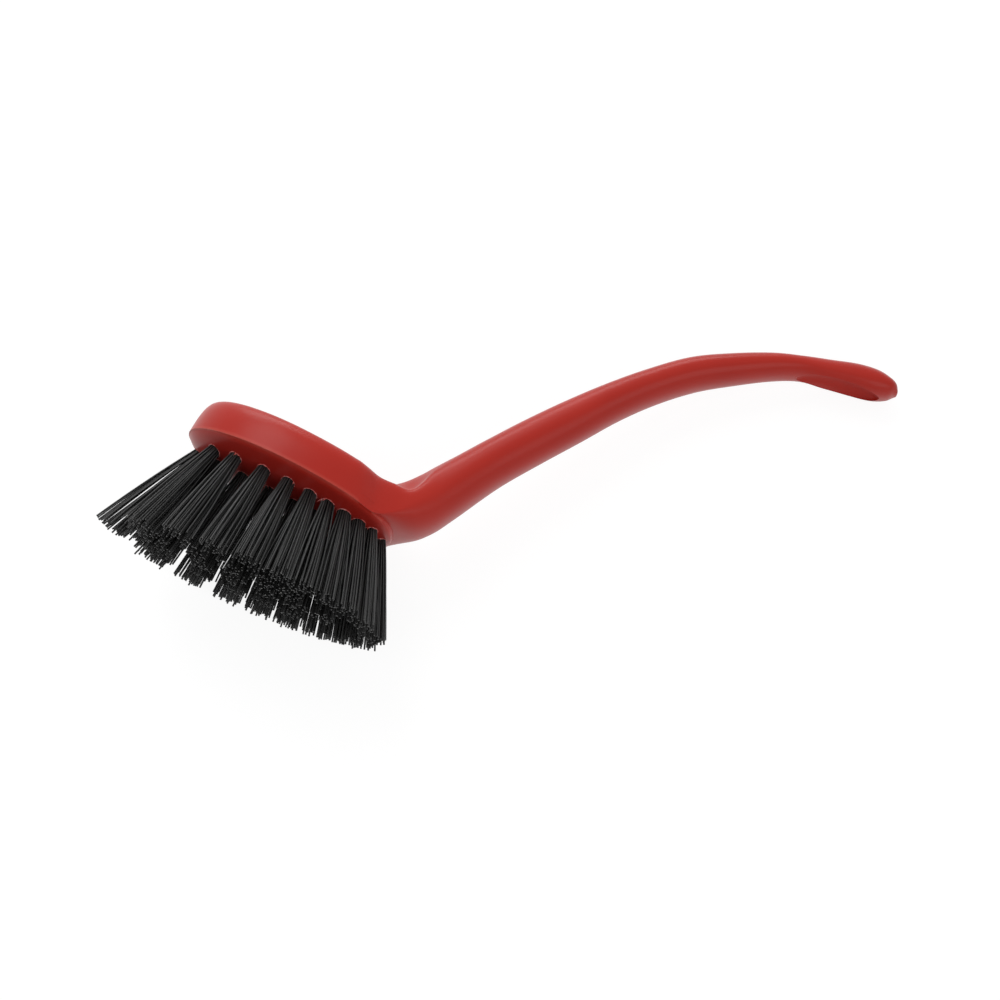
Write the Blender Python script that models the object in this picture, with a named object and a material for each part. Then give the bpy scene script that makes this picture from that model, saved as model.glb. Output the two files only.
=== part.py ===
# A chain cleaning brush: one moulded body, tufts of stiff black filament, and the steel
# anchor that grips each tuft at the bottom of its hole.
#
# The brush is modelled in its own frame. x runs from the front tip of the head towards the
# handle, y runs across, and z rises from the parting line round the head to its flat back.
# At the end it is laid on its side, the way it comes to rest on a table.

import math

import bmesh
import bpy
import numpy as np
from mathutils import Matrix, Vector
from mathutils.geometry import intersect_point_tri

# Head, in metres
HEAD_LENGTH = 0.077
HEAD_WIDTH = 0.054
WALL_HEIGHT = 0.0130
WALL_INSET = 0.0060
DOME_DEPTH = 0.0072
DOME_EDGE_ANGLE = 33.0
DOME_INSET = 0.00025
DOME_ROOT = 0.0030

# Handle, from the rear end of the head's dome to its far end
HANDLE_REACH = 0.125
HANDLE_RISE = 0.1178
HANDLE_DEPTH = 0.0148
HANDLE_WIDTH = 0.0196
SCOOP_LENGTH = 0.029
SCOOP_WIDTH = 0.0122
SCOOP_DEPTH = 0.0046

# Tufts and their holes
HOLE_DIAMETER = 0.0048
HOLE_DEPTH = 0.0080
RING_INSET = 0.0090
INNER_ROW_INSET = 0.0185
TRIM_DEPTH = 0.0376
TRIM_SLOPE = 4.4
FAN_ANGLE = 6.0
STRAND_DIAMETER = 0.00064
FRONT_SPLAY = 20.0
REAR_SPLAY = 25.0
SIDEWAYS_SPLAY = 15.0
CLEARANCE = 0.0003

# Anchors
ANCHOR_LENGTH = 0.0053
ANCHOR_HEIGHT = 0.0016
ANCHOR_THICKNESS = 0.0005

# How the head's length lies on the table, turned from the long side of the whole brush
HEAD_TURN = 28.8

# One overrun serves every cutter that has to pass through a surface
OVERRUN = 0.004

# The oval of the head, as powers of its front and rear halves, and how round other shapes are
FRONT_POWER, REAR_POWER = 2.0, 2.35
WALL_POWER = 3.4
DOME_POWER = 5.0
ROUND_POWER = 2.25
RING_POWER = 2.2
SPLAY_POWER = 1.8
RIM_POWER = 1.2

# Where the vertical sections of the head give way to the leaning ones of the neck, and how
# far before it the last upright one stands
JOIN_SHARE = 0.75
JOIN_STEP_SHARE = 0.1

# How much of a head section's upper half belongs to its wall behind the front tip
FRONT_WALL_SHARE = 0.75

# The crest of the neck and handle, from the head to the far end. Each row holds the place of
# the crest as shares of reach and rise, the lean of the section in degrees, its depth and
# width as shares of the handle's, where its widest line lies as a share of its depth, how far
# the head's rim lies below the crest as a share of the handle's depth, and how much of the
# head's wall and rim is left.
STATION_SHARES = (
    (-0.1200, 0.0000, 8.0, 0.887, 2.255, 1.000, 0.020, 1.00),
    (-0.0920, 0.0060, 20.0, 0.986, 1.790, 1.000, 0.085, 1.00),
    (-0.0672, 0.0320, 33.9, 1.185, 1.510, 0.790, 0.285, 1.00),
    (-0.0416, 0.0620, 38.5, 1.300, 1.390, 0.640, 0.500, 0.90),
    (-0.0192, 0.0930, 43.5, 1.300, 1.280, 0.570, 0.480, 0.55),
    (0.0016, 0.1220, 50.1, 1.210, 1.200, 0.540, 0.300, 0.20),
    (0.0370, 0.1770, 59.5, 1.085, 1.130, 0.520, 0.100, 0.03),
    (0.0830, 0.2570, 60.5, 1.015, 1.060, 0.500, 0.000, 0.00),
    (0.1500, 0.3700, 58.0, 0.990, 1.000, 0.500, 0.000, 0.00),
    (0.2200, 0.4780, 56.6, 0.940, 0.960, 0.500, 0.000, 0.00),
    (0.2950, 0.5830, 54.0, 0.830, 0.920, 0.500, 0.000, 0.00),
    (0.3740, 0.6810, 49.0, 0.760, 0.890, 0.500, 0.000, 0.00),
    (0.4590, 0.7720, 41.5, 0.735, 0.850, 0.500, 0.000, 0.00),
    (0.5520, 0.8400, 35.5, 0.665, 0.800, 0.500, 0.000, 0.00),
    (0.6500, 0.8990, 29.5, 0.565, 0.740, 0.500, 0.000, 0.00),
    (0.7290, 0.9330, 21.0, 0.490, 0.715, 0.500, 0.000, 0.00),
    (0.8000, 0.9600, 16.5, 0.580, 0.765, 0.520, 0.000, 0.00),
    (0.8680, 0.9860, 15.0, 0.665, 0.800, 0.550, 0.000, 0.00),
    (0.9240, 0.9970, 14.0, 0.640, 0.765, 0.550, 0.000, 0.00),
    (0.9640, 0.9925, 14.0, 0.455, 0.630, 0.510, 0.000, 0.00),
    (0.9840, 0.9858, 14.0, 0.270, 0.430, 0.500, 0.000, 0.00),
    (0.9950, 0.9730, 14.0, 0.120, 0.220, 0.500, 0.000, 0.00),
)
END_SHARES = (1.000, 0.966)
SCOOP_SHARE = 0.828

# Tuft places along the head, as shares of its length, and where the tufts stand upright
UPRIGHT_SHARE = 0.39
OUTER_SHARES = (0.083, 0.168, 0.276, 0.416, 0.534, 0.640, 0.724, 0.802, 0.868, 0.922, 0.956)
INNER_SHARES = (0.215, 0.327, 0.460, 0.580, 0.682)
STRAND_RING_SHARES = ((1, 0.0), (5, 0.5), (8, 1.0))
PLUG_SINK_SHARE = 0.25

# Counts that set how fine the faces are
HEAD_RINGS = 14
RINGS_PER_STATION = 2
DOME_RINGS = 22
DOME_STEPS = 5
UNDERSIDE_STEPS = 5
WALL_STEPS = 6
CREST_STEPS = 5
HOLE_SIDES = 14
PLUG_SIDES = 12
STRAND_SIDES = 3
SCOOP_SEGMENTS = 28
CURVE_STEPS = 12


def clear_scene():
    for item in list(bpy.data.objects):
        bpy.data.objects.remove(item, do_unlink=True)


def new_collection(name):
    collection = bpy.data.collections.new(name)
    bpy.context.scene.collection.children.link(collection)
    return collection


def new_material(name, colour, roughness, metallic=0.0):
    material = bpy.data.materials.new(name)
    material.use_nodes = True
    shader = material.node_tree.nodes["Principled BSDF"]
    shader.inputs["Base Color"].default_value = (*colour, 1.0)
    shader.inputs["Roughness"].default_value = roughness
    shader.inputs["Metallic"].default_value = metallic
    return material


def object_from(bm, name, collection, material=None):
    mesh = bpy.data.meshes.new(name)
    bm.to_mesh(mesh)
    bm.free()
    item = bpy.data.objects.new(name, mesh)
    collection.objects.link(item)
    if material:
        mesh.materials.append(material)
    return item


def make_cutter(item):
    item.hide_render = True
    item.display_type = "WIRE"
    return item


def add_boolean(item, operation, other):
    modifier = item.modifiers.new(other.name, "BOOLEAN")
    modifier.operation = operation
    modifier.solver = "EXACT"
    modifier.object = other


# The head

def oval(along):
    # Half width of the head's outline, as a share, at a share of its length.
    from_middle = 2 * along - 1
    power = FRONT_POWER if from_middle < 0 else REAR_POWER
    return max(0.0, 1 - abs(from_middle) ** power) ** (1 / power)


def head_half_width(x, inset=0.0):
    # The outline drawn in by an inset all round, at x.
    along = (x - inset) / (HEAD_LENGTH - 2 * inset)
    if not 0 < along < 1:
        return 0.0
    return (HEAD_WIDTH / 2 - inset) * oval(along)


def dome_depth(x):
    return DOME_DEPTH * max(0.0, 1 - abs(2 * x / HEAD_LENGTH - 1) ** DOME_POWER)


def dome_share(across):
    # Depth of the dome across the head, from 1 on its centre line to 0 at the parting line.
    edge = math.sin(math.radians(DOME_EDGE_ANGLE))
    rise = math.sqrt(1 - edge * edge)
    return (math.sqrt(1 - (edge * across) ** 2) - rise) / (1 - rise)


def dome_point(x, y):
    across = min(1.0, abs(y) / head_half_width(x))
    return Vector((x, y, -dome_depth(x) * dome_share(across)))


def resample(points, count):
    points = np.array(points)
    lengths = np.hypot(*np.diff(points, axis=0).T)
    walked = np.concatenate([[0.0], np.cumsum(lengths)])
    targets = np.linspace(0.0, walked[-1], count + 1)
    return [
        (float(np.interp(t, walked, points[:, 0])), float(np.interp(t, walked, points[:, 1])))
        for t in targets
    ]


def quarter(width, height, power, count):
    # A quarter of a rounded oval, as (distance inwards, height) from its side to its top.
    return [
        (
            width * (1 - max(0.0, math.cos(angle)) ** (2 / power)),
            height * max(0.0, math.sin(angle)) ** (2 / power),
        )
        for angle in np.linspace(0, math.pi / 2, count + 1)
    ]


def wall_profile(x):
    # The wall and its rounded shoulder at x, as (half width, height), up to the flat back or
    # to where the drawn-in outlines no longer reach x.
    levels = quarter(WALL_INSET, WALL_HEIGHT, WALL_POWER, 2 * CURVE_STEPS)
    profile = []
    for inset, height in levels:
        half = head_half_width(x, inset)
        if half <= 0:
            last_inset, last_height = levels[len(profile) - 1]
            share = (x - last_inset) / (inset - last_inset)
            profile.append((0.0, last_height + share * (height - last_height)))
            return profile
        profile.append((half, height))
    return profile


def head_upper(x):
    # The upper half of a head section: the wall first, then the crest, with the dividing
    # point sliding up to the shoulder's top as the flat back opens behind the front tip.
    wall = wall_profile(x)
    opened = min(1.0, max(0.0, (x - WALL_INSET) / (2 * WALL_INSET)))
    wall_share = FRONT_WALL_SHARE + (1 - FRONT_WALL_SHARE) * opened
    divide = max(2, round((len(wall) - 1) * wall_share))
    lower, upper = wall[:divide + 1], wall[divide:]
    if wall[-1][0] > 0:
        upper = upper + [(0.0, WALL_HEIGHT)]
    return resample(lower, WALL_STEPS)[:-1] + resample(upper, CREST_STEPS)


# Sections, given as (half width, distance below the crest) from underside to crest

def underside(half_width, belt, depth):
    across = quarter(half_width, depth - belt, ROUND_POWER, UNDERSIDE_STEPS)
    return [(half_width - inward, belt + down) for inward, down in across[::-1]]


def round_top(half_width, belt):
    across = quarter(half_width, belt, ROUND_POWER, WALL_STEPS + CREST_STEPS)
    return [(half_width - inward, belt - up) for inward, up in across]


def rimmed_top(half_width, belt, drop):
    # The head's wall up to its rim, and the root of the handle rising inside the rim. The rim
    # is less drawn in where the section is narrower.
    joined = head_half_width(HEAD_LENGTH * JOIN_SHARE)
    inset = WALL_INSET * min(1.0, (half_width / joined) ** RIM_POWER)
    wall = quarter(inset, belt - drop, WALL_POWER, 2 * CURVE_STEPS)
    wall = [(half_width - inward, belt - up) for inward, up in wall]
    rim = half_width - inset
    rise = [(rim * s, drop * s * s * (3 - 2 * s)) for s in np.linspace(1, 0, CURVE_STEPS)]
    return resample(wall, WALL_STEPS)[:-1] + resample(rise, CREST_STEPS)


def blend(first, second, share):
    return [
        (a[0] * share + b[0] * (1 - share), a[1] * share + b[1] * (1 - share))
        for a, b in zip(first, second)
    ]


def ring_points(crest_x, crest_z, lean, half_profile):
    # A whole ring in the brush's frame, from the underside up one side and down the other.
    down = Vector((math.sin(lean), 0.0, -math.cos(lean)))
    crest = Vector((crest_x, 0.0, crest_z))
    side = [crest + down * below + Vector((0.0, half, 0.0)) for half, below in half_profile]
    other = [crest + down * below - Vector((0.0, half, 0.0)) for half, below in half_profile]
    return side + other[-2:0:-1]


def head_rings():
    rings = []
    for i in range(1, HEAD_RINGS + 1):
        x = HEAD_LENGTH * JOIN_SHARE * (1 - math.cos(math.pi / 2 * i / HEAD_RINGS))
        lower = underside(head_half_width(x), WALL_HEIGHT, WALL_HEIGHT)
        upper = [(y, WALL_HEIGHT - z) for y, z in head_upper(x)]
        rings.append(ring_points(x, WALL_HEIGHT, 0.0, lower[:-1] + upper))
    return rings


def dome_rings():
    # The dome that carries the tufts, set a little inside the wall and rooted in the head.
    length = HEAD_LENGTH - 2 * DOME_INSET
    rings = []
    for i in range(1, DOME_RINGS):
        x = DOME_INSET + length * (1 - math.cos(math.pi * i / DOME_RINGS)) / 2
        half = head_half_width(x, DOME_INSET)
        lower = [
            (half * s, DOME_ROOT + dome_depth(x) * dome_share(s))
            for s in np.linspace(0, 1, DOME_STEPS + 1)
        ]
        rings.append(ring_points(x, DOME_ROOT, 0.0, lower + [(half, 0.0), (0.0, 0.0)]))
    return rings


def stations():
    # Rows of (crest x, crest z, lean, depth, half width, belt share, drop, wall share),
    # starting with two rows inside the head so that the curve leaves it smoothly.
    rows = []
    for share in (JOIN_SHARE - JOIN_STEP_SHARE, JOIN_SHARE):
        x = HEAD_LENGTH * share
        rows.append((x, WALL_HEIGHT, 0.0, WALL_HEIGHT, head_half_width(x), 1.0, 0.0, 1.0))
    for reach, rise, lean, depth, width, belt, drop, wall in STATION_SHARES:
        rows.append((
            HEAD_LENGTH + HANDLE_REACH * reach,
            WALL_HEIGHT + HANDLE_RISE * rise,
            math.radians(lean),
            HANDLE_DEPTH * depth,
            HANDLE_WIDTH / 2 * width,
            belt,
            HANDLE_DEPTH * drop,
            wall,
        ))
    return [np.array(row) for row in rows]


def between(rows, index, share):
    # A smooth curve through the rows, from row index to the next.
    before, start = rows[index - 1], rows[index]
    end, after = rows[index + 1], rows[min(index + 2, len(rows) - 1)]
    slope_in, slope_out = (end - before) / 2, (after - start) / 2
    s2, s3 = share ** 2, share ** 3
    return (
        start * (2 * s3 - 3 * s2 + 1) + slope_in * (s3 - 2 * s2 + share)
        + end * (3 * s2 - 2 * s3) + slope_out * (s3 - s2)
    )


def handle_ring(row):
    crest_x, crest_z, lean, depth, half, belt_share, drop, wall = (float(v) for v in row)
    belt, wall = depth * min(1.0, belt_share), max(0.0, min(1.0, wall))
    upper = blend(rimmed_top(half, belt, max(0.0, drop)), round_top(half, belt), wall)
    return ring_points(crest_x, crest_z, lean, underside(half, belt, depth)[:-1] + upper)


def handle_rings():
    rows = stations()
    rings = []
    for index in range(1, len(rows) - 1):
        for step in range(1, RINGS_PER_STATION + 1):
            rings.append(handle_ring(between(rows, index, step / RINGS_PER_STATION)))
    return rings


def station_at(reach_share):
    # The section whose crest lies at this share of the handle's reach.
    rows = stations()
    wanted = HEAD_LENGTH + HANDLE_REACH * reach_share
    for index in range(1, len(rows) - 1):
        if rows[index][0] <= wanted <= rows[index + 1][0]:
            share = (wanted - rows[index][0]) / (rows[index + 1][0] - rows[index][0])
            return between(rows, index, share)
    return rows[-1]


def loft(rings, start, end):
    # Skins the rings and closes both ends on a point.
    bm = bmesh.new()
    loops = [[bm.verts.new(point) for point in ring] for ring in rings]
    for first, second in zip(loops, loops[1:]):
        for i in range(len(first)):
            j = (i + 1) % len(first)
            bm.faces.new((first[i], first[j], second[j], second[i]))
    for loop, point in ((loops[0], start), (loops[-1], end)):
        pole = bm.verts.new(point)
        for i in range(len(loop)):
            bm.faces.new((loop[i], loop[(i + 1) % len(loop)], pole))
    bmesh.ops.recalc_face_normals(bm, faces=bm.faces)
    return bm


# Tufts

def tuft_places():
    # (name, x, y) of every tuft, in pairs either side of the centre line.
    ring_half = HEAD_WIDTH / 2 - RING_INSET
    first, last = OUTER_SHARES[0] * HEAD_LENGTH, OUTER_SHARES[-1] * HEAD_LENGTH
    places = []
    for share in OUTER_SHARES:
        x = share * HEAD_LENGTH
        from_middle = abs(2 * (x - first) / (last - first) - 1)
        y = ring_half * max(0.0, 1 - from_middle ** RING_POWER) ** (1 / RING_POWER)
        places += [("outer", x, y)] if y == 0 else [("outer", x, -y), ("outer", x, y)]
    for i, share in enumerate(INNER_SHARES):
        x = share * HEAD_LENGTH
        y = HEAD_WIDTH / 2 - INNER_ROW_INSET
        places += [("inner", x, 0.0)] if i == 0 else [("inner", x, -y), ("inner", x, y)]
    counts = {"outer": 0, "inner": 0}
    named = []
    for row, x, y in places:
        counts[row] += 1
        named.append((f"{row}_{counts[row]:02d}", x, y))
    return named


def tuft_frame(x, y):
    # The hole's frame: its origin at the mouth, its third axis out along the tuft, and its
    # first axis pointing away from the middle of the head.
    first, last = OUTER_SHARES[0] * HEAD_LENGTH, OUTER_SHARES[-1] * HEAD_LENGTH
    middle = UPRIGHT_SHARE * HEAD_LENGTH
    if x > middle:
        endways = math.radians(REAR_SPLAY) * (x - middle) / (last - middle)
    else:
        endways = -math.radians(FRONT_SPLAY) * ((middle - x) / (middle - first)) ** SPLAY_POWER
    sideways = math.radians(SIDEWAYS_SPLAY) * y / (HEAD_WIDTH / 2 - RING_INSET)
    out = Vector((math.tan(endways), math.tan(sideways), -1.0)).normalized()
    away = Vector((x - middle, y, 0.0))
    if away.length < HOLE_DIAMETER:
        away = Vector((0.0, 1.0, 0.0))
    across = out.cross(away).normalized()
    along = across.cross(out).normalized()
    turn = Matrix((along, across, out)).transposed().to_4x4()
    return Matrix.Translation(dome_point(x, y)) @ turn


def add_tube(bm, radius, bottom, top, sides, matrix=Matrix.Identity(4)):
    middle = Matrix.Translation((0.0, 0.0, (bottom + top) / 2))
    bmesh.ops.create_cone(
        bm, cap_ends=True, segments=sides, radius1=radius, radius2=radius,
        depth=top - bottom, matrix=matrix @ middle,
    )


def add_block(bm, size, height, matrix=Matrix.Identity(4)):
    place = Matrix.Translation((0.0, 0.0, height)) @ Matrix.Diagonal((*size, 1.0))
    bmesh.ops.create_cube(bm, size=1.0, matrix=matrix @ place)


def plug_top():
    return -HOLE_DIAMETER * PLUG_SINK_SHARE


def anchor_height():
    # Height of the anchor's middle above the mouth, near the bottom of the hole.
    return -HOLE_DEPTH + CLEARANCE + ANCHOR_HEIGHT


def add_strand(bm, foot, tip, radius, roll):
    # A straight strand of triangular section, square to its own run.
    run = (tip - foot).normalized()
    side = run.orthogonal().normalized()
    loops = []
    for centre in (foot, tip):
        loop = []
        for i in range(STRAND_SIDES):
            turn = Matrix.Rotation(roll + 2 * math.pi * i / STRAND_SIDES, 3, run)
            loop.append(bm.verts.new(centre + turn @ side * radius))
        loops.append(loop)
    for i in range(STRAND_SIDES):
        j = (i + 1) % STRAND_SIDES
        bm.faces.new((loops[0][i], loops[0][j], loops[1][j], loops[1][i]))
    bm.faces.new(loops[0][::-1])
    bm.faces.new(loops[1])


def strand_runs(frame):
    # The foot, tip and roll of every strand, in the tuft's frame. All the tips lie on the one
    # plane that the bristles are trimmed to, which rises a little towards the handle.
    foot_reach = HOLE_DIAMETER / 2 - CLEARANCE - STRAND_DIAMETER / 2
    fan = math.tan(math.radians(FAN_ANGLE))
    slope = math.tan(math.radians(TRIM_SLOPE))
    mouth = frame.translation
    to_plane = slope * (mouth.x - UPRIGHT_SHARE * HEAD_LENGTH) - TRIM_DEPTH - mouth.z
    runs = []
    for count, ring_share in STRAND_RING_SHARES:
        for i in range(count):
            roll = math.tau * (i + 0.5) / count
            across = Vector((math.cos(roll), math.sin(roll), 0.0)) * ring_share
            foot = across * foot_reach + Vector((0.0, 0.0, 2 * plug_top()))
            run = across * fan + Vector((0.0, 0.0, 1.0))
            away = frame.to_3x3() @ run
            tip = run * (to_plane / (away.z - slope * away.x))
            runs.append((foot, tip, roll))
    return runs


def eye_cutter(cutters):
    # The opening at the root of a tuft that its anchor passes through.
    bm = bmesh.new()
    gap = 2 * CLEARANCE
    size = (HOLE_DIAMETER + OVERRUN, ANCHOR_THICKNESS + gap, ANCHOR_HEIGHT + gap)
    add_block(bm, size, anchor_height() + CLEARANCE)
    return make_cutter(object_from(bm, "eye_cutter", cutters))


def build_tuft_mesh(name, frame, eye, cutters, material):
    # The packed root of a tuft and the strands that fan out of it, as one closed mesh.
    plug = bmesh.new()
    plug_radius = HOLE_DIAMETER / 2 - CLEARANCE
    add_tube(plug, plug_radius, -HOLE_DEPTH + CLEARANCE, plug_top(), PLUG_SIDES)
    tuft = object_from(plug, "packed_root", cutters, material)

    bm = bmesh.new()
    for foot, tip, roll in strand_runs(frame):
        add_strand(bm, foot, tip, STRAND_DIAMETER / 2, roll)
    bmesh.ops.recalc_face_normals(bm, faces=bm.faces)
    strands = object_from(bm, "strands", cutters)
    add_boolean(tuft, "UNION", strands)
    add_boolean(tuft, "DIFFERENCE", eye)

    graph = bpy.context.evaluated_depsgraph_get()
    mesh = bpy.data.meshes.new_from_object(tuft.evaluated_get(graph))
    mesh.name = name
    for helper in (tuft, strands):
        bpy.data.objects.remove(helper, do_unlink=True)
    return mesh


def build_anchor_mesh(material):
    strip = bmesh.new()
    size = (ANCHOR_LENGTH, ANCHOR_THICKNESS, ANCHOR_HEIGHT)
    add_block(strip, size, anchor_height() + CLEARANCE)
    mesh = bpy.data.meshes.new("anchor")
    strip.to_mesh(mesh)
    strip.free()
    mesh.materials.append(material)
    return mesh


def place(mesh, name, collection, parent, matrix):
    item = bpy.data.objects.new(name, mesh)
    collection.objects.link(item)
    item.parent = parent
    item.matrix_local = matrix
    return item


# Cutters for the body

def hole_cutter(cutters):
    bm = bmesh.new()
    for _, x, y in tuft_places():
        add_tube(bm, HOLE_DIAMETER / 2, -HOLE_DEPTH, OVERRUN, HOLE_SIDES, tuft_frame(x, y))
    return make_cutter(object_from(bm, "hole_cutter", cutters))


def notch_cutter(cutters):
    # Small slots in each hole's wall, which the ends of the anchor bite into.
    bm = bmesh.new()
    gap = 2 * CLEARANCE
    size = (ANCHOR_LENGTH + gap, ANCHOR_THICKNESS + gap, ANCHOR_HEIGHT + gap)
    for _, x, y in tuft_places():
        add_block(bm, size, anchor_height() + CLEARANCE, tuft_frame(x, y))
    return make_cutter(object_from(bm, "notch_cutter", cutters))


def scoop_cutter(cutters):
    row = station_at(SCOOP_SHARE)
    lean, depth = float(row[2]), float(row[3])
    down = Vector((math.sin(lean), 0.0, -math.cos(lean)))
    centre = Vector((float(row[0]), 0.0, float(row[1]))) + down * depth
    bm = bmesh.new()
    size = Matrix.Diagonal((SCOOP_LENGTH / 2, SCOOP_WIDTH / 2, SCOOP_DEPTH, 1.0))
    turn = Matrix.Rotation(-lean, 4, "Y")
    matrix = Matrix.Translation(centre) @ turn @ size
    bmesh.ops.create_uvsphere(
        bm, u_segments=SCOOP_SEGMENTS, v_segments=SCOOP_SEGMENTS // 2, radius=1.0, matrix=matrix,
    )
    return make_cutter(object_from(bm, "scoop_cutter", cutters))


def build_body(parts, cutters, material, root):
    rings = head_rings() + handle_rings()
    end_reach, end_rise = END_SHARES
    end = Vector((HEAD_LENGTH + HANDLE_REACH * end_reach, 0.0, WALL_HEIGHT + HANDLE_RISE * end_rise))
    body = object_from(loft(rings, Vector((0.0, 0.0, 0.0)), end), "brush_body", parts, material)
    body.parent = root
    dome_ends = [Vector((x, 0.0, DOME_ROOT / 2)) for x in (DOME_INSET, HEAD_LENGTH - DOME_INSET)]
    dome = make_cutter(object_from(loft(dome_rings(), *dome_ends), "dome", cutters))
    dome.parent = root
    add_boolean(body, "UNION", dome)
    for cutter in (hole_cutter(cutters), notch_cutter(cutters), scoop_cutter(cutters)):
        cutter.parent = root
        add_boolean(body, "DIFFERENCE", cutter)
    body.data.shade_smooth()
    body.data.set_sharp_from_angle(angle=math.radians(DOME_EDGE_ANGLE))
    return body


# Laying the brush on its side

def world_meshes(items):
    # The corners and the triangles of each piece as it is placed.
    graph = bpy.context.evaluated_depsgraph_get()
    meshes = []
    for item in items:
        evaluated = item.evaluated_get(graph)
        mesh = evaluated.to_mesh()
        mesh.calc_loop_triangles()
        corners = [evaluated.matrix_world @ vertex.co for vertex in mesh.vertices]
        meshes.append((corners, [tuple(triangle.vertices) for triangle in mesh.loop_triangles]))
        evaluated.to_mesh_clear()
    return meshes


def middle_of_mass(meshes):
    # Every piece counted as equally dense: the anchors are too small to matter.
    volume, moment = 0.0, Vector()
    for corners, triangles in meshes:
        for i, j, k in triangles:
            a, b, c = corners[i], corners[j], corners[k]
            share = a.dot(b.cross(c)) / 6
            volume += share
            moment += (a + b + c) / 4 * share
    return moment / volume


def resting_normal(meshes):
    # The brush comes to rest on a face of its convex hull that has the middle of mass over it.
    # Of those, this is the one that faces most nearly across the brush.
    middle = middle_of_mass(meshes)
    bm = bmesh.new()
    for corners, _ in meshes:
        for corner in corners:
            bm.verts.new(corner)
    hull = bmesh.ops.convex_hull(bm, input=bm.verts, use_existing_faces=False)
    bm.normal_update()
    best, most = Vector((0.0, 1.0, 0.0)), 0.0
    for face in hull["geom"]:
        if not isinstance(face, bmesh.types.BMFace):
            continue
        normal = face.normal.copy()
        if normal.dot(face.calc_center_median() - middle) < 0:
            normal.negate()
        under = middle + normal * normal.dot(face.calc_center_median() - middle)
        if normal.y > most and intersect_point_tri(under, *(vert.co for vert in face.verts)):
            best, most = normal, normal.y
    bm.free()
    return best


def lay_down(root, items):
    bpy.context.view_layer.update()
    floor = resting_normal(world_meshes(items))
    up = -floor
    length = Vector((1.0, 0.0, 0.0))
    length = (length - up * length.dot(up)).normalized()
    side = up.cross(length)
    level = Matrix((length, side, up)).to_4x4()
    turn = Matrix.Rotation(-math.radians(HEAD_TURN), 4, "Z")
    root.matrix_world = turn @ level
    bpy.context.view_layer.update()
    points = np.array([corner for corners, _ in world_meshes(items) for corner in corners])
    low, high = points.min(axis=0), points.max(axis=0)
    root.location = (-(low[0] + high[0]) / 2, -(low[1] + high[1]) / 2, -low[2])
    bpy.context.view_layer.update()


def main():
    clear_scene()
    parts = new_collection("chain_cleaning_brush")
    cutters = new_collection("cutters")
    red = new_material("red_plastic", (0.42, 0.028, 0.022), 0.38)
    black = new_material("black_filament", (0.012, 0.011, 0.010), 0.45)
    steel = new_material("anchor_steel", (0.62, 0.62, 0.60), 0.35, 1.0)
    root = bpy.data.objects.new("brush_root", None)
    parts.objects.link(root)

    items = [build_body(parts, cutters, red, root)]
    eye = eye_cutter(cutters)
    anchor_mesh = build_anchor_mesh(steel)
    for name, x, y in tuft_places():
        frame = tuft_frame(x, y)
        tuft_mesh = build_tuft_mesh(f"tuft_{name}", frame, eye, cutters, black)
        items.append(place(tuft_mesh, f"tuft_{name}", parts, root, frame))
        items.append(place(anchor_mesh, f"anchor_{name}", parts, root, frame))
    lay_down(root, items)


main()
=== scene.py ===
import math
import random

import bmesh
import bpy
from mathutils import Euler, Matrix, Vector


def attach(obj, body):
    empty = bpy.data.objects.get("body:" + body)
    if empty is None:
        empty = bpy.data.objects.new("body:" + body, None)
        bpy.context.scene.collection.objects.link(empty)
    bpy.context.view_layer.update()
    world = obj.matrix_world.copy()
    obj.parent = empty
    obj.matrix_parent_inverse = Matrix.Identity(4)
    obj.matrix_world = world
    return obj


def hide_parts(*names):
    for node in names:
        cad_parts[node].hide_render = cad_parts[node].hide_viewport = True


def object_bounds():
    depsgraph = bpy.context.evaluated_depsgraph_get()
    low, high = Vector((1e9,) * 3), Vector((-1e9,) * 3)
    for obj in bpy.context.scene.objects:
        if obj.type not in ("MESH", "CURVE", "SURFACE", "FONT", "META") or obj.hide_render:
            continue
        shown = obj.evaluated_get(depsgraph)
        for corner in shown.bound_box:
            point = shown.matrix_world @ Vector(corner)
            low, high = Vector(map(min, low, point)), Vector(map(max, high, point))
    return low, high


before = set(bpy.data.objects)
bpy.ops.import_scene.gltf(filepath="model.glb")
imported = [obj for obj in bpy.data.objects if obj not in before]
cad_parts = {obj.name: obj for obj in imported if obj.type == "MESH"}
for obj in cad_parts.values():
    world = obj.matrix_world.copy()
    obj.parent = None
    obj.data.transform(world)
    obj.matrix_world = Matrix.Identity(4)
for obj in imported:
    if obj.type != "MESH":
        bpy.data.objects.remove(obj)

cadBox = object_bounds()
dice = random.Random(11)

# The brush is shaped in its own frame: x from the front tip of the head to the handle, y across,
# z up from the parting line to the flat back. This is how it then lies on the table.
lie = {"at": (-0.1039744, 0.0226119, 0.0284679), "turned": (-97.128029, 1.575439, -28.799998)}
toTable = Matrix.Translation(lie["at"]) @ Euler([math.radians(a) for a in lie["turned"]]).to_matrix().to_4x4()
print("frame loaded, box", [round(v, 4) for corner in cadBox for v in corner])


# Node trees

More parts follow.
